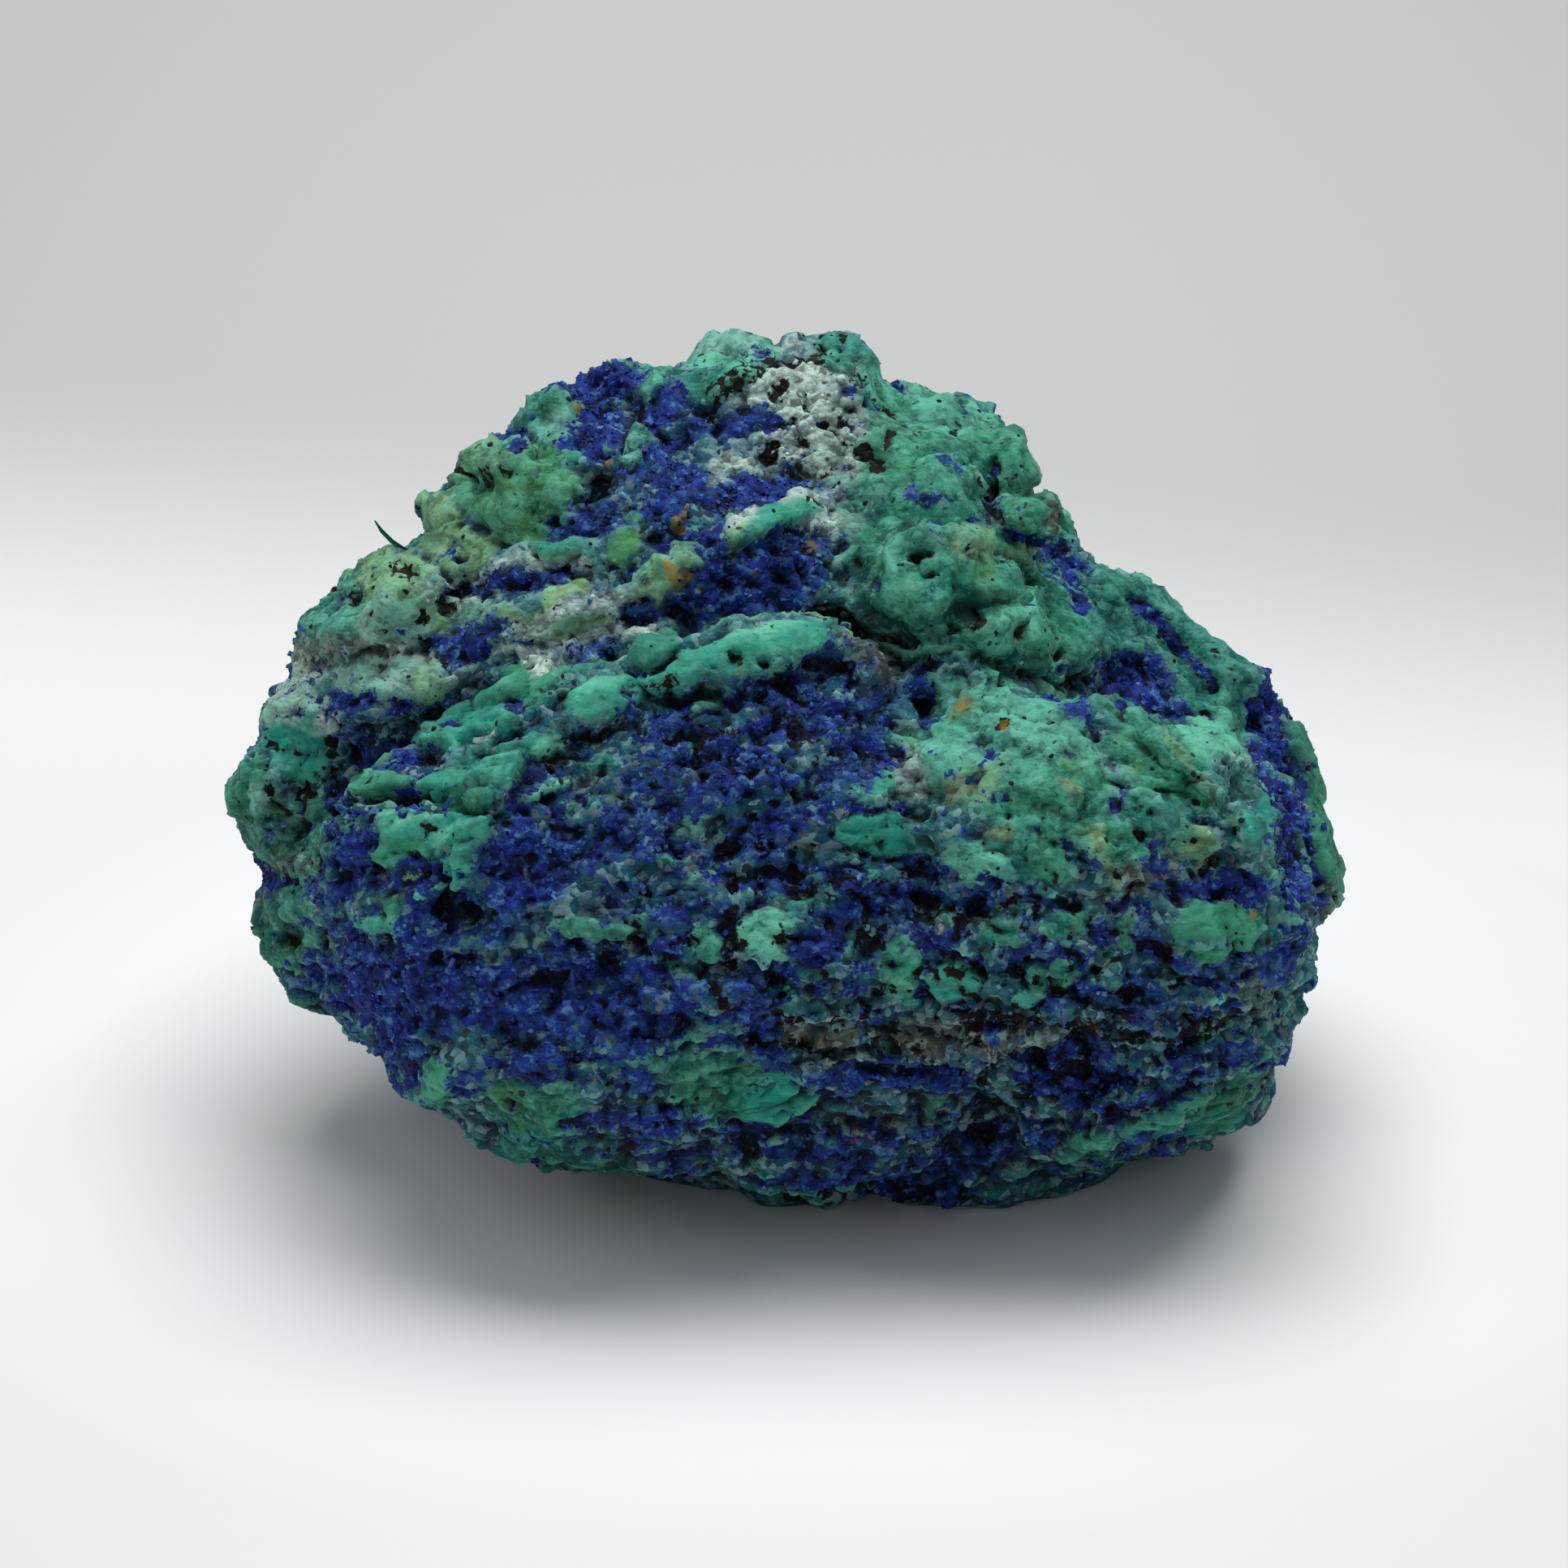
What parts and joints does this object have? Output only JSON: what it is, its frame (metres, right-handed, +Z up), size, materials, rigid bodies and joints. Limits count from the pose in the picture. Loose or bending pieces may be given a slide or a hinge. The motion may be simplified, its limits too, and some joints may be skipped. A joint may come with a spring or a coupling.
{
  "type": "azurite and malachite mineral specimen",
  "caption": "Loose lump of blue azurite with green malachite and chrysocolla crusts, lying on a small flat at its underside.",
  "frame": {"origin": "centre of the bounding box in plan, at the level of the flat that the lump rests on", "axes": "+Z up from the surface it rests on, +X along its longest side, towards the right of its best side, -Y out of its best side"},
  "size_m": [0.069, 0.059, 0.0467],
  "materials": {
    "copper_ore": "rough granular blue and green ore",
    "azurite_grains": "small glassy deep blue crystals",
    "malachite_grains": "dull pale green and whitish grains",
    "oxide_grains": "matt brown-black crumbs"
  },
  "bodies": {
    "root": {"azurite_rock": "copper_ore"}
  },
  "joints": []
}
